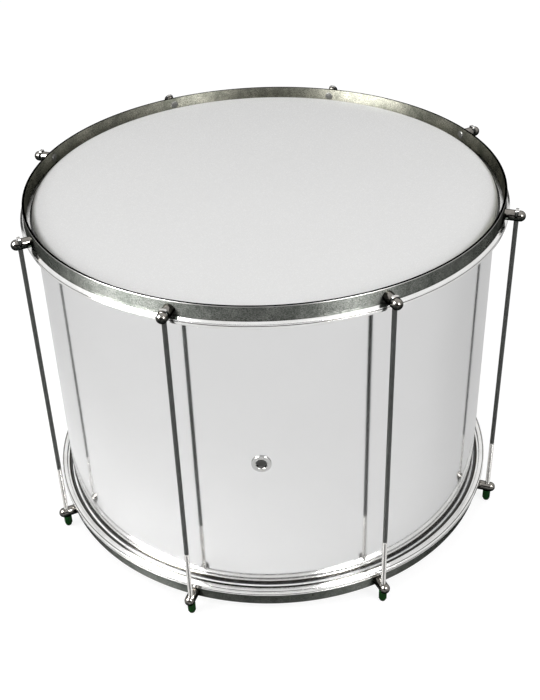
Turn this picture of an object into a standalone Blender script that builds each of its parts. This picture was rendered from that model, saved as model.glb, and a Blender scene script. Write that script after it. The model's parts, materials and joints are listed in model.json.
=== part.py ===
"""Surdo, the bass drum of a Brazilian samba band.

An aluminium shell stands upright between two film heads. Each head is folded into a
flesh hoop, and a flat steel rim presses the hoop down. Eight studs are riveted to each
rim. A tension rod hangs by its flattened head in the slot of each upper stud, runs down
through the lower stud and ends in a domed nut, and the drum stands on the eight nuts.

Metres, +Z up. The origin lies on the drum's axis, at the level of the nuts' feet, and
the vent in the shell faces -Y.
"""

import math

import bmesh
import bpy
from mathutils import Matrix

MM = 0.001

# Shell
SHELL_DIAMETER = 558.8 * MM
SHELL_HEIGHT = 406.4 * MM
SHELL_WALL = 1.2 * MM
EDGE_ROLL = 6.0 * MM          # outer radius of the rolled bearing edge

# Heads: a film over the bearing edge, folded into the flesh hoop
FILM = 0.35 * MM
HOOP_CLEARANCE = 3.05 * MM    # free ring between the film's skirt and the hoop
HOOP_FOLD = 4.9 * MM          # depth of the groove that holds the film's edge
HOOP_WEB = 0.55 * MM          # metal between that groove and the rim's seat
HOOP_FLOOR = 1.9 * MM         # metal on the groove's other side
HOOP_LIP = 1.6 * MM           # how far the lip stands above the rim's seat
HOOP_LIP_WIDTH = 1.2 * MM
HOOP_BEAD = 3.0 * MM          # width of the outer bead and the line beside it
HOOP_LINE = 0.8 * MM          # depth of the line between lip and bead

# Rims
RIM_CLEARANCE = 7.4 * MM      # from the shell's outer face to the rim's inner face
RIM_THICKNESS = 3.2 * MM
RIM_HEIGHT = 19.0 * MM
RIM_STANDOFF = 10.65 * MM     # how far a rim stands beyond the shell's edge
RIM_BEVEL = 0.5 * MM
JOINT_ANGLE = 90.6            # where the ends of the lower rim's bar meet, in that end's frame
JOINT_WIDTH = 1.0 * MM
JOINT_DEPTH = 0.8 * MM

# Studs, spaced evenly and half a step away from the drum's front
STUD_COUNT = 8
STUD_DIAMETER = 12.7 * MM
STUD_LENGTH = 24.5 * MM
TENON_DIAMETER = 7.8 * MM
RIVET_DIAMETER = 10.0 * MM
RIVET_THICKNESS = 1.2 * MM
SLOT_FOOT = 2.8 * MM          # slot's width at its floor, on the stud's axis
SLOT_MOUTH = 4.8 * MM         # and at the stud's crown
SPOT_FACE = 5.2 * MM          # from the stud's axis to the flat that a nut seats on

# Tension rods
ROD_OFFSET = 14.3 * MM        # from the rim's outer face to the rod's axis
ROD_DIAMETER = 5.5 * MM
THREAD_DIAMETER = 5.9 * MM
THREAD_LENGTH = 91.5 * MM     # from the rod's tip
HEAD_WIDTH = 9.0 * MM
HEAD_PROUD = 2.0 * MM         # how far the head stands above its stud
HEAD_CROWN = 3.4 * MM         # its thickness there, less than the slot's so that it can't jam

# Nuts
NUT_ACROSS_FLATS = 9.5 * MM
NUT_LENGTH = 17.5 * MM
NUT_DOME = 4.5 * MM           # height of the dome
NUT_DOME_DIAMETER = 8.8 * MM
NUT_FOOT = 4.0 * MM           # diameter of the flat that stands on the floor
NUT_BORE_DEPTH = 11.0 * MM

# Vent eyelet, half way up the shell and a little left of the front
VENT_ANGLE = -95.0
VENT_BORE = 12.8 * MM
VENT_FLANGE = 23.4 * MM
VENT_TUBE_WALL = 1.1 * MM
VENT_CURL = 19.2 * MM         # diameter of the rolled end inside the shell

# Fits
FIT = 0.3 * MM                # gap between pieces that touch
SPOT_FACE_MARGIN = 0.3 * MM   # spot face beyond the nut's corners
RING_SIDES = 56               # leaves a flat side under every stud
STUD_SIDES = 10
ROD_SIDES = 8
VENT_SIDES = 14
ROUND_STEPS = 3               # chords in a quarter of a round edge
TINY = 0.01 * MM

# Radii and levels that follow from the sizes above
SHELL_RADIUS = SHELL_DIAMETER / 2
FILM_INNER = SHELL_RADIUS + FIT
FILM_OUTER = FILM_INNER + FILM
HOOP_BORE = FILM_OUTER + HOOP_CLEARANCE
RIM_INNER = SHELL_RADIUS + RIM_CLEARANCE
RIM_OUTER = RIM_INNER + RIM_THICKNESS
FLAT = math.cos(math.pi / RING_SIDES)   # a flat side's distance, as a share of the radius
RIM_FACE = RIM_OUTER * FLAT
ROD_CIRCLE = RIM_OUTER + ROD_OFFSET
LOWER_STUD_LEVEL = NUT_LENGTH + FIT + SPOT_FACE
SHELL_FOOT = LOWER_STUD_LEVEL - RIM_HEIGHT / 2 + RIM_STANDOFF
SHELL_TOP = SHELL_FOOT + SHELL_HEIGHT
STUD_RISE = RIM_STANDOFF - RIM_HEIGHT / 2   # a stud's axis beyond the shell's edge
UPPER_STUD_LEVEL = SHELL_TOP + STUD_RISE

COLOURS = {
    "shell": ((0.76, 0.77, 0.77), 1.0, 0.22),
    "film": ((0.80, 0.80, 0.79), 0.0, 0.38),
    "hoop": ((0.84, 0.84, 0.83), 1.0, 0.25),
    "rim": ((0.20, 0.21, 0.20), 0.8, 0.55),
    "stud": ((0.72, 0.71, 0.69), 1.0, 0.16),
    "rod": ((0.24, 0.25, 0.24), 0.9, 0.40),
    "nut": ((0.01, 0.13, 0.03), 0.0, 0.15),
    "eyelet": ((0.70, 0.70, 0.69), 1.0, 0.25),
}


def clear_scene():
    """Remove whatever the start-up file holds."""
    for thing in list(bpy.data.objects):
        bpy.data.objects.remove(thing, do_unlink=True)


def new_collection(name):
    """Add a collection to the scene."""
    collection = bpy.data.collections.new(name)
    bpy.context.scene.collection.children.link(collection)
    return collection


def material(name):
    """Return the Principled material of one of the COLOURS."""
    if name in bpy.data.materials:
        return bpy.data.materials[name]
    colour, metallic, roughness = COLOURS[name]
    made = bpy.data.materials.new(name)
    made.use_nodes = True
    surface = made.node_tree.nodes["Principled BSDF"]
    surface.inputs["Base Color"].default_value = (*colour, 1.0)
    surface.inputs["Metallic"].default_value = metallic
    surface.inputs["Roughness"].default_value = roughness
    return made


def arc(centre, radius, start, stop, steps=ROUND_STEPS):
    """Points of an arc, as (distance from the axis, height)."""
    angles = [math.radians(start + (stop - start) * i / steps) for i in range(steps + 1)]
    return [(centre[0] + radius * math.cos(a), centre[1] + radius * math.sin(a)) for a in angles]


def turn_to(degrees):
    """Rotation about Z."""
    return Matrix.Rotation(math.radians(degrees), 4, "Z")


def around(radius, sides):
    """Radius of the polygon whose flats lie on a circle."""
    return radius / math.cos(math.pi / sides)


def turned(name, profile, sides, ring=False):
    """Turn a profile about Z and return the mesh. A ring's profile is a closed loop."""
    outline = bpy.data.meshes.new(name)
    edges = [(i, i + 1) for i in range(len(profile) - 1)]
    if ring:
        edges.append((len(profile) - 1, 0))
    outline.from_pydata([(r, 0.0, z) for r, z in profile], edges, [])
    blank = bpy.data.objects.new(name, outline)
    screw = blank.modifiers.new("turn", "SCREW")
    screw.steps = sides
    screw.render_steps = sides
    screw.use_merge_vertices = True
    screw.merge_threshold = TINY
    return baked(blank)


def baked(blank):
    """Replace an object by the mesh that its modifiers make."""
    bpy.context.scene.collection.objects.link(blank)
    bpy.context.view_layer.update()
    evaluated = blank.evaluated_get(bpy.context.evaluated_depsgraph_get())
    mesh = bpy.data.meshes.new_from_object(evaluated)
    mesh.name = blank.name
    bpy.data.objects.remove(blank, do_unlink=True)
    bm = bmesh.new()
    bm.from_mesh(mesh)
    bmesh.ops.remove_doubles(bm, verts=bm.verts, dist=TINY)
    bm.to_mesh(mesh)
    bm.free()
    return mesh


def from_bmesh(name, bm):
    """Finish a bmesh as mesh data."""
    mesh = bpy.data.meshes.new(name)
    bm.to_mesh(mesh)
    bm.free()
    return mesh


def cylinder(name, radius, low, high, sides, place=Matrix.Identity(4)):
    """A cylinder about Z between two heights, with a corner on +X, then moved by place."""
    bm = bmesh.new()
    stand = Matrix.Translation((0.0, 0.0, (low + high) / 2)) @ turn_to(-90.0)
    bmesh.ops.create_cone(bm, cap_ends=True, segments=sides, radius1=radius, radius2=radius,
                          depth=high - low, matrix=place @ stand)
    return from_bmesh(name, bm)


def wedge(name, foot, mouth, width, low, high, corner=0.0):
    """A block that widens along X from foot to mouth. corner rounds its upper ends."""
    bm = bmesh.new()
    bmesh.ops.create_cube(bm, size=1.0)
    for vert in bm.verts:
        thickness = mouth if vert.co.z > 0 else foot
        level = high if vert.co.z > 0 else low
        vert.co = (vert.co.x * thickness, vert.co.y * width, level)
    if corner:
        ends = [e for e in bm.edges
                if all(v.co.z == e.verts[0].co.z == high for v in e.verts)
                and e.verts[0].co.y == e.verts[1].co.y]
        bmesh.ops.bevel(bm, geom=ends, offset=corner, segments=2, profile=0.5, affect="EDGES")
    return from_bmesh(name, bm)


def combined(base, operation, tools, cutters):
    """Apply a Boolean with each tool mesh in turn to the mesh base."""
    mesh = base
    for number, tool in enumerate(tools):
        blank = bpy.data.objects.new(base.name, mesh)
        helper = bpy.data.objects.new(f"{base.name}_tool_{number}", tool)
        helper.hide_render = True
        helper.display_type = "WIRE"
        cutters.objects.link(helper)
        change = blank.modifiers.new("change", "BOOLEAN")
        change.operation = operation
        change.solver = "EXACT"
        change.object = helper
        mesh = baked(blank)
    return mesh


def shade(mesh):
    """Smooth the round faces and keep the real edges sharp."""
    mesh.shade_smooth()
    mesh.set_sharp_from_angle(angle=math.radians(38.0))
    return mesh


def add(collection, name, mesh, colour, parent=None, place=Matrix.Identity(4)):
    """Put a piece in the collection, under its parent and at its place."""
    piece = bpy.data.objects.new(name, mesh)
    if not mesh.materials:
        mesh.materials.append(material(colour))
    collection.objects.link(piece)
    piece.parent = parent
    piece.matrix_basis = place
    return piece


def empty(name, place):
    """An empty that carries the pieces of one end or one joint."""
    holder = bpy.data.objects.new(name, None)
    bpy.context.scene.collection.objects.link(holder)
    holder.matrix_basis = place
    return holder


def stud_angles():
    """The studs' angles, from the first one left of +X round to the last."""
    step = 360.0 / STUD_COUNT
    return [step * (i + 0.5) for i in range(STUD_COUNT)]


def shell_mesh(cutters):
    """The shell from its foot up, rolled in at both edges, with the vent's hole."""
    top = (SHELL_RADIUS - EDGE_ROLL, SHELL_HEIGHT - EDGE_ROLL)
    foot = (SHELL_RADIUS - EDGE_ROLL, EDGE_ROLL)
    inside = EDGE_ROLL - SHELL_WALL
    outer = arc(top, EDGE_ROLL, 90.0, 0.0) + arc(foot, EDGE_ROLL, 0.0, -90.0)
    inner = arc(foot, inside, -90.0, 0.0, 2) + arc(top, inside, 0.0, 90.0, 2)
    wall = turned("shell", outer + inner, RING_SIDES, ring=True)
    hole = cylinder("vent_hole", VENT_BORE / 2 + VENT_TUBE_WALL + FIT, SHELL_RADIUS - 4 * EDGE_ROLL,
                    SHELL_RADIUS + EDGE_ROLL, VENT_SIDES, vent_place(SHELL_HEIGHT / 2))
    return shade(combined(wall, "DIFFERENCE", [hole], cutters))


def vent_place(level):
    """Frame whose Z runs out along the vent's axis, from the drum's axis at a level."""
    out = Matrix.Rotation(math.radians(90.0), 4, "Y")
    return Matrix.Translation((0.0, 0.0, level)) @ turn_to(VENT_ANGLE) @ out


def eyelet_mesh():
    """The vent's eyelet about Z, with Z = 0 at the shell's outer face."""
    bore = VENT_BORE / 2
    tube = bore + VENT_TUBE_WALL
    flange = VENT_FLANGE / 2
    curl = VENT_CURL / 2
    behind = -(SHELL_WALL + (1.0 - FLAT) * SHELL_RADIUS + FIT)
    front = 1.8 * MM
    profile = [
        (tube, front), (flange - 0.9 * MM, front - 0.2 * MM), (flange, front - 0.9 * MM),
        (flange, FIT), (tube, FIT), (tube, behind), (curl, behind), (curl, behind - 0.8 * MM),
        (bore, behind - 0.8 * MM), (bore, front - 0.9 * MM),
    ]
    return shade(turned("vent_grommet", profile, VENT_SIDES, ring=True))


# The meshes of the two ends lie in one frame: Z = 0 at the shell's edge, +Z outward.

def fold_level():
    """Height of the lower face of the film's folded edge."""
    seat = RIM_STANDOFF - RIM_HEIGHT - FIT
    return seat - HOOP_WEB - FIT - FILM


def skin_mesh():
    """The head's film: flat, over the bearing edge, down its skirt and out to the fold."""
    edge = (SHELL_RADIUS - EDGE_ROLL, -EDGE_ROLL)
    fold = fold_level()
    reach = HOOP_BORE + HOOP_FOLD - FIT
    face = [(0.0, FIT + FILM)] + arc(edge, EDGE_ROLL + FIT + FILM, 90.0, 0.0)
    skirt = [(FILM_OUTER, fold + FILM), (reach, fold + FILM), (reach, fold), (FILM_INNER, fold)]
    back = arc(edge, EDGE_ROLL + FIT, 0.0, 90.0) + [(0.0, FIT)]
    return shade(turned("skin", face + skirt + back, RING_SIDES))


def hoop_mesh():
    """The flesh hoop: seat and lip for the rim, an outer bead and the film's groove."""
    seat = RIM_STANDOFF - RIM_HEIGHT - FIT
    lip = seat + HOOP_LIP
    groove_low = fold_level() - FIT
    groove_high = seat - HOOP_WEB
    floor = groove_low - HOOP_FLOOR
    lip_inner = RIM_OUTER + FIT
    lip_outer = lip_inner + HOOP_LIP_WIDTH
    outer = lip_outer + HOOP_BEAD
    profile = [
        (lip_inner, lip), (lip_outer, lip), (lip_outer + 0.5 * MM, lip - HOOP_LINE),
        (lip_outer + 1.2 * MM, lip - 0.2 * MM), (outer, lip - 1.2 * MM), (outer, floor),
        (HOOP_BORE, floor), (HOOP_BORE, groove_low),
        (HOOP_BORE + HOOP_FOLD, groove_low), (HOOP_BORE + HOOP_FOLD, groove_high),
        (HOOP_BORE, groove_high), (HOOP_BORE, seat), (lip_inner, seat),
    ]
    return shade(turned("flesh_hoop", profile, RING_SIDES, ring=True))


def rim_mesh(cutters, joint_angle=None):
    """The flat steel rim with a round hole for each stud's tenon.

    joint_angle puts a groove in the outer face, on the hoop's side, where the bar's ends meet.
    """
    top = RIM_STANDOFF
    foot = RIM_STANDOFF - RIM_HEIGHT
    profile = [
        (RIM_INNER + RIM_BEVEL, top), (RIM_OUTER - RIM_BEVEL, top), (RIM_OUTER, top - RIM_BEVEL),
        (RIM_OUTER, foot), (RIM_INNER, foot), (RIM_INNER, top - RIM_BEVEL),
    ]
    band = turned("rim", profile, RING_SIDES, ring=True)
    out = Matrix.Rotation(math.radians(90.0), 4, "Y")
    holes = bmesh.new()
    for angle in stud_angles():
        place = Matrix.Translation((0.0, 0.0, STUD_RISE)) @ turn_to(angle) @ out
        drill = cylinder("tenon_hole", TENON_DIAMETER / 2 + FIT, RIM_INNER - RIM_THICKNESS,
                         RIM_OUTER + RIM_THICKNESS, STUD_SIDES, place)
        holes.from_mesh(drill)
    if joint_angle is not None:
        groove = wedge("joint_groove", JOINT_WIDTH, JOINT_WIDTH, 2 * JOINT_DEPTH,
                       foot - RIM_THICKNESS, STUD_RISE)
        across = turn_to(90.0)
        groove.transform(turn_to(joint_angle) @ Matrix.Translation((RIM_FACE, 0.0, 0.0)) @ across)
        holes.from_mesh(groove)
    return shade(combined(band, "DIFFERENCE", [from_bmesh("rim_cuts", holes)], cutters))


# A stud lies along X. X = 0 at the rim's outer face, Z = 0 on the stud's axis, +Z outward.

def stud_blank():
    """The turned stud: domed end, body, tenon through the rim and riveted head."""
    radius = STUD_DIAMETER / 2
    tip = RIM_OUTER + STUD_LENGTH - RIM_FACE
    tenon = TENON_DIAMETER / 2
    rivet = RIVET_DIAMETER / 2
    under = -(RIM_THICKNESS * FLAT + FIT)
    profile = arc((0.0, tip - radius), radius, 90.0, 0.0)
    profile += [(radius, FIT), (tenon, FIT), (tenon, under), (rivet, under),
                (rivet, under - RIVET_THICKNESS), (0.0, under - RIVET_THICKNESS)]
    profile[0] = (0.0, tip)
    mesh = turned("stud", profile, STUD_SIDES)
    mesh.transform(Matrix.Rotation(math.radians(90.0), 4, "Y"))
    return mesh


def rod_place():
    """Frame on the rod's axis, as seen from a stud."""
    return Matrix.Translation((ROD_CIRCLE - RIM_FACE, 0.0, 0.0))


def slotted_stud_mesh(cutters):
    """Upper stud: a cross slot holds the rod's head, and the rod drops through a hole."""
    crown = STUD_DIAMETER
    slope = (SLOT_MOUTH - SLOT_FOOT) / (STUD_DIAMETER / 2)
    slot = wedge("slot", SLOT_FOOT, SLOT_FOOT + slope * crown, 2 * STUD_DIAMETER, 0.0, crown)
    slot.transform(rod_place())
    hole = cylinder("rod_hole", ROD_DIAMETER / 2 + FIT, -STUD_DIAMETER, STUD_DIAMETER, ROD_SIDES,
                    rod_place())
    return shade(combined(stud_blank(), "DIFFERENCE", [slot, hole], cutters))


def spot_faced_stud_mesh(cutters):
    """Lower stud: a plain hole for the thread and a flat spot face for the nut."""
    hole = cylinder("thread_hole", THREAD_DIAMETER / 2 + FIT, -STUD_DIAMETER, STUD_DIAMETER,
                    ROD_SIDES, rod_place())
    corner = around(NUT_ACROSS_FLATS / 2, 6)
    seat = cylinder("spot_face", around(corner + SPOT_FACE_MARGIN, STUD_SIDES), SPOT_FACE,
                    STUD_DIAMETER, STUD_SIDES, rod_place())
    return shade(combined(stud_blank(), "DIFFERENCE", [hole, seat], cutters))


def rod_mesh(cutters):
    """Tension rod with Z = 0 on the upper stud's axis: thread, shank and flattened head."""
    tip = NUT_LENGTH - NUT_BORE_DEPTH + FIT - UPPER_STUD_LEVEL
    thread_top = tip + THREAD_LENGTH
    shank = ROD_DIAMETER / 2
    thread = THREAD_DIAMETER / 2
    crown = STUD_DIAMETER / 2
    shoulder = crown - 2.0 * MM
    profile = [
        (0.0, shoulder), (shank, shoulder), (shank, thread_top), (thread, thread_top - 0.4 * MM),
        (thread, tip), (0.0, tip),
    ]
    stem = turned("tension_rod", profile, ROD_SIDES)
    high = crown + HEAD_PROUD
    head = wedge("rod_head", SLOT_FOOT - 2 * FIT, HEAD_CROWN, HEAD_WIDTH, FIT, high,
                 corner=HEAD_PROUD)
    return shade(combined(stem, "UNION", [head], cutters))


def nut_mesh(cutters):
    """Cap nut standing on Z = 0: a hexagon on a dome, bored from the top."""
    foot = NUT_FOOT / 2
    radius = NUT_DOME_DIAMETER / 2
    centre = (foot, NUT_DOME)
    curve = [(foot + (x - foot) * (radius - foot) / NUT_DOME, z)
             for x, z in arc(centre, NUT_DOME, 0.0, -90.0)]
    dome = turned("tension_nut", [(0.0, NUT_DOME + MM), (radius, NUT_DOME + MM)] + curve + [(0.0, 0.0)],
                  STUD_SIDES)
    corner = around(NUT_ACROSS_FLATS / 2, 6)
    hexagon = cylinder("hexagon", corner, NUT_DOME, NUT_LENGTH, 6)
    solid = combined(dome, "UNION", [hexagon], cutters)
    bore = cylinder("bore", around(THREAD_DIAMETER / 2 + FIT, ROD_SIDES),
                    NUT_LENGTH - NUT_BORE_DEPTH, 2 * NUT_LENGTH, ROD_SIDES)
    return shade(combined(solid, "DIFFERENCE", [bore], cutters))


def build():
    """Make every piece and put it in place."""
    clear_scene()
    drum = new_collection("surdo")
    cutters = new_collection("cutters")

    upright = Matrix.Translation((0.0, 0.0, SHELL_FOOT))
    add(drum, "shell", shell_mesh(cutters), "shell", place=upright)
    eyelet = vent_place(SHELL_FOOT + SHELL_HEIGHT / 2) @ Matrix.Translation((0.0, 0.0, SHELL_RADIUS))
    add(drum, "vent_grommet", eyelet_mesh(), "eyelet", place=eyelet)

    flip = Matrix.Rotation(math.pi, 4, "X")
    ends = {
        "batter": empty("batter_end", Matrix.Translation((0.0, 0.0, SHELL_TOP))),
        "resonant": empty("resonant_end", Matrix.Translation((0.0, 0.0, SHELL_FOOT)) @ flip),
    }
    skin = skin_mesh()
    hoop = hoop_mesh()
    rims = {"batter": rim_mesh(cutters), "resonant": rim_mesh(cutters, JOINT_ANGLE)}
    for side, end in ends.items():
        add(drum, f"{side}_skin", skin, "film", end)
        add(drum, f"{side}_flesh_hoop", hoop, "hoop", end)
        add(drum, f"{side}_rim", rims[side], "rim", end)

    studs = {"batter": slotted_stud_mesh(cutters), "resonant": spot_faced_stud_mesh(cutters)}
    rod = rod_mesh(cutters)
    nut = nut_mesh(cutters)
    on_rim = Matrix.Translation((RIM_FACE, 0.0, STUD_RISE))
    for number, angle in enumerate(stud_angles(), start=1):
        add(drum, f"batter_stud_{number}", studs["batter"], "stud", ends["batter"],
            turn_to(angle) @ on_rim)
        add(drum, f"resonant_stud_{number}", studs["resonant"], "stud", ends["resonant"],
            turn_to(-angle) @ on_rim)
        line = empty(f"rod_line_{number}", turn_to(angle) @ Matrix.Translation((ROD_CIRCLE, 0.0, 0.0)))
        add(drum, f"tension_rod_{number}", rod, "rod", line,
            Matrix.Translation((0.0, 0.0, UPPER_STUD_LEVEL)))
        add(drum, f"tension_nut_{number}", nut, "nut", line)


build()
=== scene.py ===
"""Looks of the surdo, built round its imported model."""

import json
import math

import bmesh
import bpy
from mathutils import Matrix, Vector

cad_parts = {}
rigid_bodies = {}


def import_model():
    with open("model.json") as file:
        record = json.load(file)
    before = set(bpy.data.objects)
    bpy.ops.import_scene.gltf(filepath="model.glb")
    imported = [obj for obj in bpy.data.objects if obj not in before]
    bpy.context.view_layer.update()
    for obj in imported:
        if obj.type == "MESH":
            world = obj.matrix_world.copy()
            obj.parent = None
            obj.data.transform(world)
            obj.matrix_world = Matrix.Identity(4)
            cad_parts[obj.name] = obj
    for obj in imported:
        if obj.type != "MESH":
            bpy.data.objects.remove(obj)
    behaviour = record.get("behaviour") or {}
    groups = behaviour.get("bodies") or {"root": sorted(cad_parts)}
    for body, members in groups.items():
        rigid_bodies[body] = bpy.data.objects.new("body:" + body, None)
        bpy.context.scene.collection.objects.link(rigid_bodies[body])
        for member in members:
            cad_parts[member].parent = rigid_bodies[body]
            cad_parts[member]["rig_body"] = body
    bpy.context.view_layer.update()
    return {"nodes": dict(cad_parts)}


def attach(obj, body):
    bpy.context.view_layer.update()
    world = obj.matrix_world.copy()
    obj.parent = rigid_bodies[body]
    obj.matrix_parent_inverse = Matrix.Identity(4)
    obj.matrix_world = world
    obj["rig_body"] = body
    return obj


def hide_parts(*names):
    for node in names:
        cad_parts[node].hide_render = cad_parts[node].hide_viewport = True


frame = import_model()

MM = 0.001

# Sizes of the CAD model, in millimetres
SHELL_RADIUS = 279.4
SHELL_HEIGHT = 406.4
SHELL_WALL = 1.2
EDGE_ROLL = 6.0
FIT = 0.3                     # gap between pieces that touch
FILM = 0.35
HOOP_CLEARANCE = 3.05         # from the film's skirt to the hoop
HOOP_FOLD = 4.9               # depth of the groove that holds the film's fold
HOOP_WEB = 0.55               # metal between that groove and the rim's seat
HOOP_OUTER = 294.5
RIM_CLEARANCE = 7.4           # from the shell's outer face to the rim
RIM_THICKNESS = 3.2
RIM_HEIGHT = 19.0
RIM_EDGE = 10.65              # how far a rim stands beyond the shell's edge
STUD_RADIUS = 6.35
STUD_LENGTH = 24.5
TENON_RADIUS = 3.9
RIVET_RADIUS = 5.0
SLOT_FOOT = 2.8
SLOT_MOUTH = 4.8
SPOT_FACE = 5.2               # from the stud's axis to the nut's seat
SPOT_RADIUS = 5.79
ROD_OFFSET = 14.3             # from the rim's outer face to the rod's axis
ROD_RADIUS = 2.75
THREAD_RADIUS = 2.95
THREAD_LENGTH = 91.5
HEAD_WIDTH = 9.0
HEAD_PROUD = 2.0
HEAD_CROWN = 3.4
NUT_FLAT = 4.75
NUT_LENGTH = 17.5
NUT_DOME = 4.5
NUT_DOME_RADIUS = 4.4
NUT_FOOT = 2.0
NUT_BORE_DEPTH = 11.0
VENT_ANGLE = -95.0
VENT_BORE = 6.4
VENT_TUBE = 7.5
VENT_CURL = 9.6
STUDS = 8

# Sizes that follow from these
FILM_OUTER = SHELL_RADIUS + FIT + FILM
HOOP_BORE = FILM_OUTER + HOOP_CLEARANCE
RIM_INNER = SHELL_RADIUS + RIM_CLEARANCE
RIM_OUTER = RIM_INNER + RIM_THICKNESS
RIM_FOOT = RIM_EDGE - RIM_HEIGHT
STUD_RISE = RIM_EDGE - RIM_HEIGHT / 2
ROD_CIRCLE = RIM_OUTER + ROD_OFFSET
SHELL_FOOT = NUT_LENGTH + FIT + SPOT_FACE + STUD_RISE
SHELL_TOP = SHELL_FOOT + SHELL_HEIGHT
SHELL_MIDDLE = (SHELL_TOP + SHELL_FOOT) / 2
HEAD_TOP = STUD_RADIUS + HEAD_PROUD
NUT_BORE = THREAD_RADIUS + FIT
NUT_BORE_FLOOR = NUT_LENGTH - NUT_BORE_DEPTH
ROD_TIP = NUT_BORE_FLOOR + FIT - (SHELL_TOP + STUD_RISE)    # from the upper stud's axis
ROD_THREAD_TOP = ROD_TIP + THREAD_LENGTH

# Detail that only the looks have, in millimetres and degrees. Levels count from the shell's edge.
HOOP_LIP = 2.7                # height above the rim's seat
HOOP_RAISED = 287.9           # inner edge of the back's outer band
HOOP_BAND_SHADE_LINE = 292.9        # where a painted shade line runs on that band
HOOP_BACK = -11.5
HOOP_BAND_BACK = -14.0
HOOP_WALL_TOP = -8.2
HOOP_LINE = -10.05            # groove round the outer wall
VENT_FLANGE = 11.3
VENT_FLANGE_RISE = 1.5
THREAD_PITCH = 1.27
THREAD_DEPTH = 0.42
JOINT_ANGLE = 84.0            # in the resonant end's own frame
JOINT_WIDTH = 1.6
JOINT_DEPTH = 2.0

SIDES = 288                   # round the drum
FINE = 48                     # round a stud
ROUND = 24                    # round a rod

# The photograph's camera: metres, degrees and shares of the frame's width
CAMERA_AT = (-0.05197, -1.19912, 1.03012)
CAMERA_AZIMUTH = -0.89
CAMERA_DOWN = 33.53
CAMERA_ROLL = -2.87
CAMERA_LENS = 56.22           # millimetres on a sensor of 36
CAMERA_SHIFT = (0.0397, -0.0434)


def rounded(corners, steps=4):
    """A closed profile with each corner (r, z, radius) turned into an arc."""
    points = []
    for i, (r, z, radius) in enumerate(corners):
        if not radius:
            points.append((r, z))
            continue
        here = Vector((r, z))
        ahead = (Vector(corners[(i + 1) % len(corners)][:2]) - here).normalized()
        behind = (Vector(corners[i - 1][:2]) - here).normalized()
        half = behind.angle(ahead) / 2
        reach = radius / math.tan(half)
        centre = here + (ahead + behind).normalized() * radius / math.sin(half)
        first = here + behind * reach - centre
        last = here + ahead * reach - centre
        sweep = math.pi - 2 * half
        for k in range(steps + 1):
            share = k / steps
            at = (first * math.sin((1 - share) * sweep) + last * math.sin(share * sweep))
            at = centre + at / math.sin(sweep)
            points.append((at.x, at.y))
    return points


def arc(centre, radius, start, stop, steps):
    """Points of an arc, as (r, z)."""
    angles = [math.radians(start + (stop - start) * i / steps) for i in range(steps + 1)]
    return [(centre[0] + radius * math.cos(a), centre[1] + radius * math.sin(a)) for a in angles]


def closed(name, verts, faces):
    """Mesh data from millimetres, with its faces turned outward."""
    mesh = bpy.data.meshes.new(name)
    mesh.from_pydata([Vector(v) * MM for v in verts], [], faces)
    bm = bmesh.new()
    bm.from_mesh(mesh)
    bmesh.ops.remove_doubles(bm, verts=bm.verts, dist=1e-7)
    bmesh.ops.recalc_face_normals(bm, faces=bm.faces)
    bm.to_mesh(mesh)
    bm.free()
    return mesh


def lathe(name, profile, sides=SIDES, loop=True, push=None):
    """Turn a profile of (r, z) about Z. push(r, z, angle) gives a point's own radius."""
    verts, rings, faces = [], [], []
    for r, z in profile:
        if r < 1e-6:
            rings.append([len(verts)])
            verts.append((0.0, 0.0, z))
            continue
        rings.append(list(range(len(verts), len(verts) + sides)))
        for i in range(sides):
            angle = 2 * math.pi * i / sides
            own = push(r, z, angle) if push else r
            verts.append((own * math.cos(angle), own * math.sin(angle), z))
    pairs = list(zip(rings, rings[1:]))
    if loop:
        pairs.append((rings[-1], rings[0]))
    for upper, lower in pairs:
        for i in range(sides):
            j = (i + 1) % sides
            corners = [upper[i % len(upper)], lower[i % len(lower)],
                       lower[j % len(lower)], upper[j % len(upper)]]
            corners = list(dict.fromkeys(corners))
            if len(corners) > 2:
                faces.append(corners)
    return closed(name, verts, faces)


def cylinder(radius, low, high, sides):
    """Cutter about Z."""
    return lathe("cutter", [(0, high), (radius, high), (radius, low), (0, low)], sides, loop=False)


def box(size):
    """Cutter of three sizes in millimetres, with its middle at the origin."""
    bm = bmesh.new()
    bmesh.ops.create_cube(bm, size=1.0)
    bmesh.ops.scale(bm, vec=[length * MM for length in size], verts=bm.verts)
    mesh = bpy.data.meshes.new("cutter")
    bm.to_mesh(mesh)
    bm.free()
    return mesh


def changed(mesh, operation, tools):
    """Apply a Boolean with each tool mesh in turn."""
    for tool in tools:
        base = bpy.data.objects.new("base", mesh)
        helper = bpy.data.objects.new("helper", tool)
        for thing in (base, helper):
            bpy.context.scene.collection.objects.link(thing)
        change = base.modifiers.new("change", "BOOLEAN")
        change.operation = operation
        change.solver = "EXACT"
        change.object = helper
        bpy.context.view_layer.update()
        evaluated = base.evaluated_get(bpy.context.evaluated_depsgraph_get())
        mesh = bpy.data.meshes.new_from_object(evaluated)
        for thing in (base, helper):
            bpy.data.objects.remove(thing, do_unlink=True)
    bm = bmesh.new()
    bm.from_mesh(mesh)
    bmesh.ops.remove_doubles(bm, verts=bm.verts, dist=2e-6)
    bm.to_mesh(mesh)
    bm.free()
    return mesh


def smooth(mesh, angle=32.0):
    """Smooth shading, with the real edges sharp."""
    mesh.shade_smooth()
    mesh.set_sharp_from_angle(angle=math.radians(angle))
    return mesh


def turn(degrees):
    """Rotation about Z."""
    return Matrix.Rotation(math.radians(degrees), 4, "Z")


def move(x, y, z):
    """Translation in millimetres."""
    return Matrix.Translation(Vector((x, y, z)) * MM)


OUTWARD = Matrix.Rotation(math.radians(90.0), 4, "Y")    # turns Z to X


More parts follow.
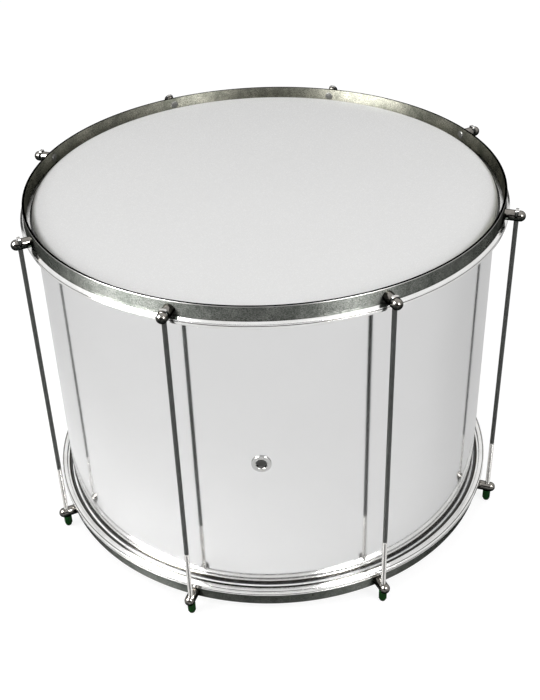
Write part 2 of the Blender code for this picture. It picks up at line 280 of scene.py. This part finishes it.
class Look:
    """A material with a Principled surface and short calls for what feeds it."""

    def __init__(self, name, colour, metallic=0.0, roughness=0.5):
        self.material = bpy.data.materials.new(name)
        self.material.use_nodes = True
        self.tree = self.material.node_tree
        self.surface = self.tree.nodes["Principled BSDF"]
        self.surface.inputs["Base Color"].default_value = (*colour, 1.0)
        self.surface.inputs["Metallic"].default_value = metallic
        self.surface.inputs["Roughness"].default_value = roughness
        self.place = self.tree.nodes.new("ShaderNodeTexCoord").outputs["Object"]

    def node(self, kind, inputs=None, **settings):
        """Add a node. Inputs are values or sockets, by name or number."""
        made = self.tree.nodes.new("ShaderNode" + kind)
        for key, value in settings.items():
            setattr(made, key, value)
        for key, value in (inputs or {}).items():
            if isinstance(value, bpy.types.NodeSocket):
                self.tree.links.new(value, made.inputs[key])
            else:
                made.inputs[key].default_value = value
        return made

    def stretched(self, scale):
        """Object coordinates scaled along each axis."""
        inputs = {"Vector": self.place, "Scale": scale}
        return self.node("Mapping", inputs).outputs["Vector"]

    def noise(self, scale, where=None, detail=3.0, roughness=0.55):
        """Noise from 0 to 1 with features of 1 / scale metres."""
        inputs = {"Vector": where or self.place, "Scale": scale, "Detail": detail,
                  "Roughness": roughness}
        return self.node("TexNoise", inputs).outputs[0]

    def spread(self, value, low, high, start=0.3, stop=0.7):
        """Map a value's middle range onto low to high."""
        inputs = {0: value, 1: start, 2: stop, 3: low, 4: high}
        return self.node("MapRange", inputs).outputs[0]

    def radial(self):
        """Distance from the Z axis, in metres."""
        flat = self.node("VectorMath", {0: self.place, 1: (1.0, 1.0, 0.0)}, operation="MULTIPLY")
        return self.node("VectorMath", {0: flat.outputs[0]}, operation="LENGTH").outputs[1]

    def height(self):
        """Height in the object's own frame, in metres."""
        return self.node("SeparateXYZ", {0: self.place}).outputs[2]

    def math(self, operation, first, second=0.0):
        """A sum or the like of two numbers."""
        return self.node("Math", {0: first, 1: second}, operation=operation).outputs[0]

    def above(self, value, low, high):
        """0 below a length of low and 1 beyond high, in millimetres."""
        return self.spread(value, 0.0, 1.0, low * MM, high * MM)

    def below(self, value, low, high):
        """1 below a length of low and 0 beyond high, in millimetres."""
        return self.spread(value, 1.0, 0.0, low * MM, high * MM)

    def near(self, value, middle, full, none):
        """1 where a length is within full of middle, and 0 beyond none, in millimetres."""
        off = self.math("ABSOLUTE", self.math("SUBTRACT", value, middle * MM))
        return self.below(off, full, none)

    def blend(self, share, first, second):
        """Mix two colours."""
        inputs = {0: share, 6: (*first, 1.0) if isinstance(first, tuple) else first,
                  7: (*second, 1.0) if isinstance(second, tuple) else second}
        return self.node("Mix", inputs, data_type="RGBA").outputs[2]

    def set(self, **sockets):
        """Feed the surface's sockets, with _ for a space."""
        for key, value in sockets.items():
            socket = self.surface.inputs[key.replace("_", " ")]
            if isinstance(value, bpy.types.NodeSocket):
                self.tree.links.new(value, socket)
            else:
                socket.default_value = value

    def bump(self, height, depth, strength=1.0):
        """Raise the surface by height times depth metres."""
        inputs = {"Height": height, "Distance": depth, "Strength": strength}
        self.set(Normal=self.node("Bump", inputs).outputs[0])


def shell_look():
    """Bright aluminium sheet, rolled along the drum's height."""
    look = Look("shell_aluminium", (0.79, 0.79, 0.79), 1.0, 0.12)
    lines = look.noise(420.0, look.stretched((1.0, 1.0, 0.012)), 2.0)
    cloud = look.noise(9.0, detail=2.0)
    look.set(Base_Color=look.blend(cloud, (0.775, 0.775, 0.775), (0.81, 0.81, 0.81)))
    look.set(Roughness=look.spread(lines, 0.08, 0.15))
    look.bump(lines, 0.00001, 0.25)
    return look.material


def film_look():
    """Milky film with a soft sheen, painted black as shade where the hoop holds it."""
    look = Look("head_film", (0.82, 0.82, 0.815), 0.0, 0.3)
    cloud = look.noise(6.0, detail=2.0)
    white = look.blend(cloud, (0.825, 0.825, 0.822), (0.85, 0.85, 0.847))
    # painted shade: beyond the skirt the film is near black and not translucent, standing in for
    # the shade in the hoop's gap
    painted_gap_shade = look.above(look.radial(), FILM_OUTER + 0.35, FILM_OUTER + 0.5)
    look.set(Base_Color=look.blend(painted_gap_shade, white, (0.02, 0.02, 0.02)))
    look.set(Roughness=look.spread(look.noise(900.0, detail=2.0), 0.22, 0.3))
    look.bump(look.noise(1400.0, detail=2.0), 0.00002, 0.15)
    through = look.node("BsdfTranslucent", {"Color": (0.9, 0.9, 0.89, 1.0)})
    share = look.spread(painted_gap_shade, 0.3, 0.0, 0.0, 1.0)
    mixed = look.node("MixShader", {0: share, 1: look.surface.outputs[0], 2: through.outputs[0]})
    output = look.tree.nodes["Material Output"]
    look.tree.links.new(mixed.outputs[0], output.inputs["Surface"])
    return look.material


def hoop_look():
    """Turned and polished aluminium with fine lines along the ring, painted dark as shade in its
    grooves and round its bore.
    """
    look = Look("hoop_aluminium", (0.83, 0.83, 0.825), 1.0, 0.2)
    radius, level = look.radial(), look.height()
    across = look.math("ADD", radius, level)
    lines = look.node("TexNoise", {"W": across, "Scale": 2600.0, "Detail": 2.0},
                      noise_dimensions="1D").outputs[0]
    worn = look.noise(25.0, look.stretched((1.0, 1.0, 8.0)), 4.0, 0.7)
    bright = look.blend(look.spread(worn, 0.0, 1.0), (0.74, 0.735, 0.72), (0.86, 0.86, 0.855))
    back = look.below(level, HOOP_BACK + 0.6, HOOP_BACK + 0.8)
    # painted shade: near-black lines in the wall's groove and along the back's band
    wall_groove_shade = look.near(level, HOOP_LINE, 0.3, 0.5)
    band_groove_shade = look.math("MULTIPLY", look.near(radius, HOOP_BAND_SHADE_LINE, 0.3, 0.6), back)
    groove_shade = look.math("MAXIMUM", wall_groove_shade, band_groove_shade)
    colour = look.blend(groove_shade, bright, (0.03, 0.026, 0.02))
    # painted shade: the bore wall and the back near it are near black, standing in for the shadowed
    # gap round the shell
    bore = look.math("MULTIPLY", look.below(radius, HOOP_BORE + 2.0, HOOP_BORE + 2.3), back)
    look.set(Base_Color=look.blend(bore, colour, (0.04, 0.037, 0.03)))
    look.set(Roughness=look.spread(look.noise(60.0), 0.14, 0.22))
    look.set(Anisotropic=0.8, Anisotropic_Rotation=0.25)
    look.bump(lines, 0.00006, 0.5)
    return look.material


def rim_look(name, shade):
    """Dull, mottled steel with rolling marks, painted light on its inner face, painted shade along
    its foot, a painted dark reflection on its top and a painted highlight on its outer top edge.
    shade darkens the whole, as painted shade on the lower rim.
    """
    look = Look(name, (0.15, 0.155, 0.15), 1.0, 0.45)
    patches = look.noise(38.0, detail=5.0, roughness=0.65)
    grain = look.noise(620.0, look.stretched((1.0, 1.0, 1.6)), 4.0, 0.75)
    dark, bright = (0.087, 0.094, 0.085), (0.267, 0.274, 0.256)
    tone = look.blend(look.spread(patches, 0.0, 1.0), tuple(shade * c for c in dark),
                      tuple(shade * c for c in bright))
    tone = look.blend(look.spread(grain, 0.0, 0.85, 0.42, 0.6), tone, (0.035, 0.04, 0.034))
    radius, level = look.radial(), look.height()
    # painted light: the inner face is lightened and warmed
    inside = look.below(radius, RIM_INNER + 0.3, RIM_INNER + 0.5)
    light = look.node("Mix", {0: inside, 6: tone, 7: (1.55, 1.47, 1.33, 1.0)}, data_type="RGBA",
                      blend_type="MULTIPLY").outputs[2]
    # painted dark reflection: the top face is near black
    top = look.above(level, RIM_EDGE - 0.3, RIM_EDGE - 0.15)
    # painted shade: a ragged near-black band along the rim's foot
    ragged = look.spread(look.noise(170.0, detail=4.0, roughness=0.75), -1.3 * MM, 1.3 * MM)
    painted_foot_shade = look.below(look.math("ADD", level, ragged), RIM_FOOT + 0.2, RIM_FOOT + 1.6)
    light = look.blend(painted_foot_shade, light, (0.02, 0.022, 0.02))
    light = look.blend(top, light, (0.003, 0.003, 0.003))
    # painted highlight: a bright line along the outer top edge, smoother than the rest
    corner = look.above(radius, RIM_OUTER - 0.5, RIM_OUTER - 0.4)
    high = look.above(level, RIM_EDGE - 0.95, RIM_EDGE - 0.8)
    edge = look.math("MULTIPLY", corner, high)
    look.set(Base_Color=look.blend(edge, light, (0.36, 0.355, 0.345)))
    dull = look.spread(patches, 0.5, 0.4)
    look.set(Roughness=look.node("Mix", {0: edge, 2: dull, 3: 0.4}).outputs[0])
    look.set(Anisotropic=0.9, Anisotropic_Rotation=0.25)
    look.set(Specular_Tint=(0.12, 0.12, 0.12, 1.0))
    look.bump(look.node("Mix", {0: high, 2: grain, 3: 0.5}).outputs[0], 0.0001, 0.35)
    return look.material


def stud_look(name, up):
    """Polished steel, painted dark as shade on the side that faces down. up is 1 or -1 along Z."""
    look = Look(name, (0.5, 0.49, 0.47), 1.0, 0.14)
    level = look.math("MULTIPLY", look.height(), up / MM)
    # painted shade: near black below the axis, lighter above it, with a ragged boundary
    ragged = look.spread(look.noise(260.0, detail=4.0, roughness=0.7), -1.6, 1.6)
    clean = look.spread(look.math("ADD", level, ragged), 0.0, 1.0, 0.0, 5.4)
    steel = look.blend(clean, (0.016, 0.018, 0.016), (0.27, 0.255, 0.235))
    along = look.node("SeparateXYZ", {0: look.place}).outputs[0]
    rivet = look.below(along, -RIM_THICKNESS - 0.2, -RIM_THICKNESS)
    look.set(Base_Color=look.blend(rivet, steel, (0.2, 0.2, 0.19)))
    polish = look.spread(look.noise(500.0), 0.03, 0.1)
    look.set(Roughness=look.node("Mix", {0: rivet, 2: polish, 3: 0.42}).outputs[0])
    look.set(Specular_Tint=(0.25, 0.25, 0.25, 1.0))
    look.bump(look.noise(1500.0, detail=4.0), 0.00003, 0.15)
    return look.material


def rod_look():
    """Dark satin shank, bright thread and bright top of the head."""
    look = Look("rod_steel", (0.1, 0.1, 0.1), 0.9, 0.38)
    level = look.height()
    thread = look.below(level, ROD_THREAD_TOP - 0.2, ROD_THREAD_TOP + 0.2)
    head = look.above(level, HEAD_TOP - 1.6, HEAD_TOP - 1.2)
    bright = look.math("MAXIMUM", thread, head)
    grain = look.noise(700.0, look.stretched((1.0, 1.0, 0.2)))
    dark = look.blend(grain, (0.028, 0.029, 0.028), (0.095, 0.1, 0.095))
    look.set(Base_Color=look.blend(bright, dark, (0.62, 0.61, 0.59)))
    look.set(Roughness=look.spread(bright, 0.42, 0.2, 0.0, 1.0))
    look.bump(grain, 0.00003, 0.4)
    return look.material


def nut_look():
    """Dark green gloss."""
    look = Look("nut_green", (0.004, 0.04, 0.007), 1.0, 0.2)
    look.set(Roughness=look.spread(look.noise(600.0), 0.1, 0.2))
    look.set(Base_Color=look.blend(look.noise(300.0), (0.001, 0.02, 0.003), (0.004, 0.055, 0.008)))
    look.set(Coat_Weight=0.2, Coat_Roughness=0.05)
    look.set(Specular_Tint=(0.1, 0.3, 0.1, 1.0))
    return look.material


def eyelet_look():
    """Nickelled steel."""
    look = Look("eyelet_nickel", (0.52, 0.52, 0.51), 1.0, 0.2)
    look.set(Roughness=look.spread(look.noise(800.0), 0.14, 0.26))
    return look.material


def put(name, mesh, material, node, matrix=None):
    """Add a piece in place of a CAD node, on that node's body."""
    piece = bpy.data.objects.new(name, mesh)
    if not mesh.materials:
        mesh.materials.append(material)
    bpy.context.scene.collection.objects.link(piece)
    if matrix is not None:
        piece.matrix_world = matrix
    body = frame["nodes"][node]["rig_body"]
    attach(piece, body)
    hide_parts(node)
    return piece


def vent_place():
    """Frame whose Z runs out along the vent's axis, from the drum's axis."""
    return move(0, 0, SHELL_MIDDLE) @ turn(VENT_ANGLE) @ OUTWARD


def shell_mesh():
    """The shell with rolled edges, closely spaced rows round the vent and its hole."""
    rows = [SHELL_MIDDLE + step for step in (60, 25, 14, 0, -14, -25, -60)]
    roll = SHELL_RADIUS - EDGE_ROLL
    inside = EDGE_ROLL - SHELL_WALL
    outer = arc((roll, SHELL_TOP - EDGE_ROLL), EDGE_ROLL, 90, 0, 6)
    outer += [(SHELL_RADIUS, z) for z in rows]
    outer += arc((roll, SHELL_FOOT + EDGE_ROLL), EDGE_ROLL, 0, -90, 6)
    inner = arc((roll, SHELL_FOOT + EDGE_ROLL), inside, -90, 0, 6)
    inner += [(SHELL_RADIUS - SHELL_WALL, z) for z in reversed(rows)]
    inner += arc((roll, SHELL_TOP - EDGE_ROLL), inside, 0, 90, 6)
    wall = lathe("shell_sheet", outer + inner)
    hole = cylinder(VENT_TUBE + FIT, SHELL_RADIUS - 20, SHELL_RADIUS + 5, FINE)
    hole.transform(vent_place())
    return round_wall(changed(wall, "DIFFERENCE", [hole]))


def round_wall(mesh):
    """Smooth the shell with normals that point straight out from its axis."""
    smooth(mesh)
    mesh.update()
    normals = [corner.vector.copy() for corner in mesh.corner_normals]
    for face in mesh.polygons:
        if abs(face.normal.z) > 0.02:
            continue
        for corner in face.loop_indices:
            at = mesh.vertices[mesh.loops[corner].vertex_index].co
            out = Vector((at.x, at.y, 0.0)).normalized()
            if face.normal.dot(out) > 0.99:
                normals[corner] = out
            elif face.normal.dot(out) < -0.99:
                normals[corner] = -out
    mesh.normals_split_custom_set(normals)
    return mesh


def fold_level():
    """Height of the lower face of the film's fold, from the shell's edge."""
    return RIM_FOOT - FIT - HOOP_WEB - FIT - FILM


def film_mesh():
    """The head's film, from its middle over the bearing edge into the hoop."""
    edge = (SHELL_RADIUS - EDGE_ROLL, -EDGE_ROLL)
    low = fold_level()
    skirt = SHELL_RADIUS + FIT
    reach = HOOP_BORE + HOOP_FOLD - FIT
    top = FIT + FILM
    face = [(0, top), (120, top), (220, top), (262, top), (270, top)]
    face += arc(edge, EDGE_ROLL + top, 90, 0, 8)
    fold = [(skirt + FILM, low + FILM), (reach, low + FILM), (reach, low), (skirt, low)]
    back = arc(edge, EDGE_ROLL + FIT, 0, 90, 8) + [(220, FIT), (0, FIT)]
    return smooth(lathe("head_film", face + fold + back, loop=False))


def hoop_mesh():
    """The flesh hoop with a raised band on its back and a groove round its wall."""
    seat = RIM_FOOT - FIT
    lip = seat + HOOP_LIP
    low = fold_level() - FIT
    high = seat - HOOP_WEB
    inner = RIM_OUTER + FIT
    corners = [
        (inner, lip, 0.2), (inner + 1.3, lip, 0.5), (HOOP_OUTER, HOOP_WALL_TOP, 1.2),
        (HOOP_OUTER, HOOP_LINE + 0.45, 0.15), (HOOP_OUTER - 0.5, HOOP_LINE, 0.1),
        (HOOP_OUTER, HOOP_LINE - 0.45, 0.15), (HOOP_OUTER, HOOP_BAND_BACK, 0.9),
        (HOOP_RAISED, HOOP_BAND_BACK, 0.8), (HOOP_RAISED - 0.6, HOOP_BACK, 0.4),
        (HOOP_BORE, HOOP_BACK, 0.5), (HOOP_BORE, low, 0.1),
        (HOOP_BORE + HOOP_FOLD, low, 0.1), (HOOP_BORE + HOOP_FOLD, high, 0.1),
        (HOOP_BORE, high, 0.1), (HOOP_BORE, seat, 0.2), (inner, seat, 0.1),
    ]
    return smooth(lathe("hoop_ring", rounded(corners, 4)))


def stud_angle(index):
    """Angle of a stud, counted from 0."""
    return 360 / STUDS * (index + 0.5)


def rim_mesh(name, joint_angle=None):
    """The rim's bar, drilled for the studs. joint_angle marks where its ends meet."""
    corners = [
        (RIM_INNER, RIM_EDGE, 0.6), (RIM_OUTER, RIM_EDGE, 1.0),
        (RIM_OUTER, RIM_FOOT, 0.4), (RIM_INNER, RIM_FOOT, 0.4),
    ]
    band = lathe(name, rounded(corners, 6))
    holes = []
    for i in range(STUDS):
        hole = cylinder(TENON_RADIUS + FIT, RIM_INNER - 4, RIM_OUTER + 4, ROUND)
        hole.transform(move(0, 0, STUD_RISE) @ turn(stud_angle(i)) @ OUTWARD)
        holes.append(hole)
    if joint_angle is not None:
        joint = box((2 * JOINT_DEPTH, JOINT_WIDTH, STUD_RISE - RIM_FOOT))
        joint.transform(turn(joint_angle) @ move(RIM_OUTER, 0, (STUD_RISE + RIM_FOOT) / 2))
        holes.append(joint)
    return smooth(changed(band, "DIFFERENCE", holes))


def stud_blank():
    """Turned stud along X: domed end, body, tenon and a peened head inside the rim."""
    under = -(RIM_THICKNESS + FIT)
    profile = [(0, STUD_LENGTH)]
    profile += arc((0, STUD_LENGTH - STUD_RADIUS), STUD_RADIUS, 90, 0, 10)[1:]
    profile += arc((STUD_RADIUS - 0.3, FIT + 0.3), 0.3, 0, -90, 3)
    profile += [(TENON_RADIUS, FIT), (TENON_RADIUS, under), (RIVET_RADIUS, under)]
    profile += [(RIVET_RADIUS, under - 0.3), (4.6, under - 0.6), (0, under - 0.75)]
    mesh = lathe("stud", profile, FINE, loop=False)
    mesh.transform(OUTWARD)
    return mesh


def wedge(foot, mouth, width, low, high, ease):
    """A block that widens along X from foot to mouth, with its upper ends eased."""
    bm = bmesh.new()
    bmesh.ops.create_cube(bm, size=1.0)
    for vert in bm.verts:
        thick = mouth if vert.co.z > 0 else foot
        level = high if vert.co.z > 0 else low
        vert.co = (vert.co.x * thick * MM, vert.co.y * width * MM, level * MM)
    if ease:
        ends = [e for e in bm.edges
                if e.verts[0].co.z > low * MM + 1e-6 and e.verts[1].co.z > low * MM + 1e-6
                and abs(e.verts[0].co.y - e.verts[1].co.y) < 1e-7]
        bmesh.ops.bevel(bm, geom=ends, offset=ease * MM, segments=6, profile=0.5, affect="EDGES")
        bmesh.ops.bevel(bm, geom=[e for e in bm.edges if e.calc_face_angle(0) > 0.9],
                        offset=0.35 * MM, segments=2, profile=0.5, affect="EDGES")
    mesh = bpy.data.meshes.new("wedge")
    bm.to_mesh(mesh)
    bm.free()
    return mesh


def slotted_stud():
    """Upper stud with the slot for the rod's head and the hole under it."""
    slope = (SLOT_MOUTH - SLOT_FOOT) / STUD_RADIUS
    crown = 2 * STUD_RADIUS
    slot = wedge(SLOT_FOOT, SLOT_FOOT + slope * crown, 30.0, 0.0, crown, 0)
    slot.transform(move(ROD_OFFSET, 0, 0))
    hole = cylinder(ROD_RADIUS + FIT, -12, 12, ROUND)
    hole.transform(move(ROD_OFFSET, 0, 0))
    return smooth(changed(stud_blank(), "DIFFERENCE", [slot, hole]))


def plain_stud():
    """Lower stud with the thread's hole and the nut's spot face."""
    hole = cylinder(THREAD_RADIUS + FIT, -12, 12, ROUND)
    seat = cylinder(SPOT_RADIUS, SPOT_FACE, 12, ROUND)
    for cutter in (hole, seat):
        cutter.transform(move(ROD_OFFSET, 0, 0))
    return smooth(changed(stud_blank(), "DIFFERENCE", [hole, seat]))


def rod_mesh():
    """Tension rod with a cut thread and a flattened head. Z = 0 on the upper stud's axis."""
    rows_per_turn = 4
    depths = (0.0, 0.5, 1.0, 0.5)
    run_in = 1.2
    turns = int((THREAD_LENGTH - 2 * run_in) / THREAD_PITCH) + 2
    verts, rows = [], []

    def ring(level, radius):
        rows.append(list(range(len(verts), len(verts) + ROUND)))
        for i in range(ROUND):
            angle = 2 * math.pi * i / ROUND
            z = level(i) if callable(level) else level
            r = radius(i) if callable(radius) else radius
            verts.append((r * math.cos(angle), r * math.sin(angle), z))

    root = THREAD_RADIUS - THREAD_DEPTH
    ring(ROD_TIP, root - 0.4)
    low, high = ROD_TIP + run_in, ROD_THREAD_TOP - run_in
    ring(ROD_TIP + 0.4, root)
    for row in range(-rows_per_turn, turns * rows_per_turn):
        def level(i, row=row):
            z = low + THREAD_PITCH * (row / rows_per_turn + i / ROUND)
            return min(max(z, low), high)

        def radius(i, row=row):
            z = low + THREAD_PITCH * (row / rows_per_turn + i / ROUND)
            if not low < z < high:
                return root
            fade = min(1.0, (z - low) / 1.5, (high - z) / 1.5)
            return THREAD_RADIUS - THREAD_DEPTH * (1 - fade * (1 - depths[row % rows_per_turn]))
        ring(level, radius)
    ring(ROD_THREAD_TOP - 0.5, root)
    ring(ROD_THREAD_TOP, ROD_RADIUS)
    ring(-2.0, ROD_RADIUS)
    ring(3.5, ROD_RADIUS)
    faces = [rows[0][::-1], rows[-1]]
    for lower, upper in zip(rows, rows[1:]):
        for i in range(ROUND - 1):
            faces.append([lower[i], lower[i + 1], upper[i + 1], upper[i]])
    shift = rows_per_turn
    first, last = 2, len(rows) - 5
    for k, (lower, upper) in enumerate(zip(rows, rows[1:])):
        if first <= k and k + 1 <= last:
            a, b = min(k + shift, last), min(k + 1 + shift, last)
            faces.append([lower[-1], rows[a][0], rows[b][0], upper[-1]])
        elif k + 1 == first:
            faces.append([lower[-1], lower[0], rows[first][0], upper[-1]])
        else:
            faces.append([lower[-1], lower[0], upper[0], upper[-1]])
    clean = []
    for face in faces:
        keys = []
        for v in face:
            key = tuple(round(c, 6) for c in verts[v])
            if key not in [k for k, _ in keys]:
                keys.append((key, v))
        if len(keys) > 2:
            clean.append([v for _, v in keys])
    stem = closed("rod", verts, clean)
    head = wedge(SLOT_FOOT - 2 * FIT, HEAD_CROWN, HEAD_WIDTH, FIT, HEAD_TOP, 2.6)
    return smooth(changed(stem, "UNION", [head]))


def nut_mesh():
    """Cap nut: eased hexagon above a dome, blind bore from the top, standing on Z = 0."""
    def hexed(r, z, angle):
        if z < NUT_DOME + 0.1 or r < NUT_DOME_RADIUS + 0.1:
            return r
        flat = NUT_FLAT / math.cos((angle + math.pi / 6) % (math.pi / 3) - math.pi / 6)
        ease = min(abs(z - NUT_DOME - 0.3), abs(NUT_LENGTH - z))
        return min(flat, NUT_FLAT + 0.1 + 1.7 * ease)

    curve = [(NUT_FOOT + (x - NUT_FOOT) * (NUT_DOME_RADIUS - NUT_FOOT) / NUT_DOME, z)
             for x, z in arc((NUT_FOOT, NUT_DOME), NUT_DOME, 0, -90, 10)]
    steps = (0.0, 0.12, 0.25, 0.4)
    profile = [(0, NUT_BORE_FLOOR), (NUT_BORE, NUT_BORE_FLOOR), (NUT_BORE, NUT_LENGTH - 0.3),
               (NUT_BORE + 0.3, NUT_LENGTH), (NUT_DOME_RADIUS, NUT_LENGTH)]
    profile += [(NUT_FLAT, NUT_LENGTH - step) for step in steps]
    profile += [(NUT_FLAT, NUT_DOME + 0.3 + step) for step in reversed(steps)]
    profile += [(NUT_DOME_RADIUS, NUT_DOME + 0.25)] + curve + [(0, 0)]
    return smooth(lathe("nut", profile, FINE, loop=False, push=hexed), 28.0)


def eyelet_mesh():
    """The vent's eyelet, with Z = 0 at the shell's outer face."""
    behind = -(SHELL_WALL + 0.44 + FIT)
    corners = [
        (VENT_BORE, VENT_FLANGE_RISE, 0.9), (VENT_FLANGE, VENT_FLANGE_RISE, 0.8),
        (VENT_FLANGE, FIT, 0.2),
        (VENT_TUBE, FIT, 0.0), (VENT_TUBE, behind, 0.0), (VENT_CURL, behind, 0.3),
        (VENT_CURL, behind - 0.8, 0.3), (VENT_BORE, behind - 0.8, 0.3),
    ]
    return smooth(lathe("eyelet", rounded(corners, 5), FINE))


def build_drum():
    """Make every piece."""
    put("shell_sheet", shell_mesh(), shell_look(), "shell")
    put("vent_eyelet", eyelet_mesh(), eyelet_look(), "vent_grommet",
        vent_place() @ move(0, 0, SHELL_RADIUS))
    ends = {
        "batter": move(0, 0, SHELL_TOP),
        "resonant": move(0, 0, SHELL_FOOT) @ Matrix.Rotation(math.pi, 4, "X"),
    }
    film, hoop = film_look(), hoop_look()
    # the resonant rim is a darker copy of the same steel, as painted shade
    bar = {"batter": rim_look("rim_steel", 1.0), "resonant": rim_look("rim_steel_painted_shade", 0.55)}
    film_shape, hoop_shape = film_mesh(), hoop_mesh()
    rims = {"batter": rim_mesh("batter_band"), "resonant": rim_mesh("resonant_band", JOINT_ANGLE)}
    for side, end in ends.items():
        put(f"{side}_film", film_shape, film, f"{side}_skin", end)
        put(f"{side}_hoop_ring", hoop_shape, hoop, f"{side}_flesh_hoop", end)
        put(f"{side}_rim_band", rims[side], bar[side], f"{side}_rim", end)
    metal = {"batter": stud_look("stud_steel", 1), "resonant": stud_look("stud_steel_turned", -1)}
    studs = {"batter": slotted_stud(), "resonant": plain_stud()}
    rod, nut = rod_mesh(), nut_mesh()
    rod_metal, nut_metal = rod_look(), nut_look()
    on_rim = move(RIM_OUTER, 0, STUD_RISE)
    for number in range(1, STUDS + 1):
        angle = stud_angle(number - 1)
        for side, way in (("batter", angle), ("resonant", -angle)):
            put(f"{side}_lug_{number}", studs[side], metal[side], f"{side}_stud_{number}",
                ends[side] @ turn(way) @ on_rim)
        line = turn(angle) @ move(ROD_CIRCLE, 0, 0)
        put(f"hook_rod_{number}", rod, rod_metal, f"tension_rod_{number}",
            line @ move(0, 0, SHELL_TOP + STUD_RISE))
        put(f"cap_nut_{number}", nut, nut_metal, f"tension_nut_{number}", line)


def build_floor():
    """A pale floor that is white to the camera. Polished metal sees its shadows more."""
    mesh = bpy.data.meshes.new("floor")
    mesh.from_pydata([(-9, -9, 0), (9, -9, 0), (9, 9, 0), (-9, 9, 0)], [], [(0, 1, 2, 3)])
    look = Look("floor_pale", (0.8, 0.8, 0.8), 0.0, 0.9)
    path = look.node("LightPath").outputs
    shiny = look.node("Math", {0: path["Is Glossy Ray"], 1: path["Is Transmission Ray"]},
                      operation="MAXIMUM").outputs[0]
    seen = look.surface.outputs[0]
    for share, glow, soft in ((path["Is Camera Ray"], 0.84, 0.22), (shiny, 0.12, 0.56)):
        light = look.node("Emission", {"Color": (1, 1, 1, 1), "Strength": glow}).outputs[0]
        white = look.node("BsdfDiffuse", {"Color": (soft, soft, soft, 1)}).outputs[0]
        both = look.node("AddShader", {0: light, 1: white}).outputs[0]
        seen = look.node("MixShader", {0: share, 1: seen, 2: both}).outputs[0]
    look.tree.links.new(seen, look.tree.nodes["Material Output"].inputs["Surface"])
    mesh.materials.append(look.material)
    floor = bpy.data.objects.new("floor", mesh)
    bpy.context.scene.collection.objects.link(floor)


def dark_card(name, azimuth, spread, low, high):
    """A dark card that only polished surfaces see, so that they show their edges."""
    radius = 4.0
    columns, rows = 24, 12
    verts, faces = [], []
    for i in range(columns + 1):
        turned = math.radians(azimuth - spread + 2 * spread * i / columns)
        for j in range(rows + 1):
            raised = math.radians(low + (high - low) * j / rows)
            verts.append((radius * math.cos(raised) * math.cos(turned),
                          radius * math.cos(raised) * math.sin(turned), radius * math.sin(raised)))
    for i in range(columns):
        for j in range(rows):
            corner = i * (rows + 1) + j
            faces.append((corner, corner + 1, corner + rows + 2, corner + rows + 1))
    mesh = bpy.data.meshes.new(name)
    mesh.from_pydata(verts, [], faces)
    look = Look("card_dark", (0.04, 0.04, 0.04), 0.0, 0.9)
    mesh.materials.append(look.material)
    card = bpy.data.objects.new(name, mesh)
    bpy.context.scene.collection.objects.link(card)
    card.visible_camera = False
    card.visible_diffuse = False
    card.visible_transmission = False
    card.visible_shadow = False


def area_light(name, at, target, size, power, lights=True):
    """A soft box that points at a target. One that lights nothing is only seen as a glint."""
    lamp = bpy.data.lights.new(name, "AREA")
    lamp.shape = "RECTANGLE"
    lamp.size, lamp.size_y = size
    lamp.energy = power
    holder = bpy.data.objects.new(name, lamp)
    bpy.context.scene.collection.objects.link(holder)
    way = Vector(target) - Vector(at)
    holder.matrix_world = Matrix.Translation(at) @ way.to_track_quat("-Z", "Y").to_matrix().to_4x4()
    holder.visible_camera = False
    holder.visible_diffuse = lights
    holder.visible_transmission = lights


def build_light():
    """White surroundings and two soft boxes."""
    world = bpy.data.worlds.new("studio")
    bpy.context.scene.world = world
    world.use_nodes = True
    tree = world.node_tree
    path = tree.nodes.new("ShaderNodeLightPath").outputs
    strength = tree.nodes.new("ShaderNodeMapRange")
    most = path["Is Camera Ray"]
    for kind in ("Is Glossy Ray", "Is Transmission Ray"):
        both = tree.nodes.new("ShaderNodeMath")
        both.operation = "MAXIMUM"
        tree.links.new(most, both.inputs[0])
        tree.links.new(path[kind], both.inputs[1])
        most = both.outputs[0]
    tree.links.new(most, strength.inputs[0])
    strength.inputs[3].default_value = 0.7
    strength.inputs[4].default_value = 1.0
    background = tree.nodes["Background"]
    background.inputs["Color"].default_value = (1, 1, 1, 1)
    tree.links.new(strength.outputs[0], background.inputs["Strength"])
    area_light("left_box", (-2.3, -0.9, 1.8), (0, 0, 0.3), (1.0, 1.4), 40.0)
    area_light("right_box", (1.7, -1.9, 1.8), (0, 0, 0.3), (0.8, 1.2), 36.0)
    area_light("left_glint", (-0.95, -0.46, 1.15), (0, 0, 0.4), (0.65, 0.75), 60.0, False)
    area_light("right_glint", (0.72, -1.2, 1.2), (0, 0, 0.4), (0.4, 0.6), 22.0, False)
    dark_card("back_card", 90.0, 45.0, 1.0, 30.0)
    dark_card("front_card", -92.0, 32.0, 8.0, 36.0)


def build_camera():
    """The photograph's camera."""
    lens = bpy.data.cameras.new("camera")
    lens.sensor_width = 36.0
    lens.lens = CAMERA_LENS
    lens.shift_x, lens.shift_y = CAMERA_SHIFT
    camera = bpy.data.objects.new("camera", lens)
    bpy.context.scene.collection.objects.link(camera)
    azimuth, down, roll = (math.radians(v) for v in (CAMERA_AZIMUTH, CAMERA_DOWN, CAMERA_ROLL))
    ahead = Vector((-math.sin(azimuth) * math.cos(down), math.cos(azimuth) * math.cos(down),
                    -math.sin(down)))
    right = ahead.cross(Vector((0, 0, 1))).normalized()
    up = right.cross(ahead)
    across = math.cos(roll) * right + math.sin(roll) * up
    above = -math.sin(roll) * right + math.cos(roll) * up
    basis = Matrix((across, above, -ahead)).transposed().to_4x4()
    camera.matrix_world = Matrix.Translation(CAMERA_AT) @ basis
    bpy.context.scene.camera = camera


build_camera()
build_drum()
build_floor()
build_light()
bpy.context.scene.view_settings.view_transform = "Standard"
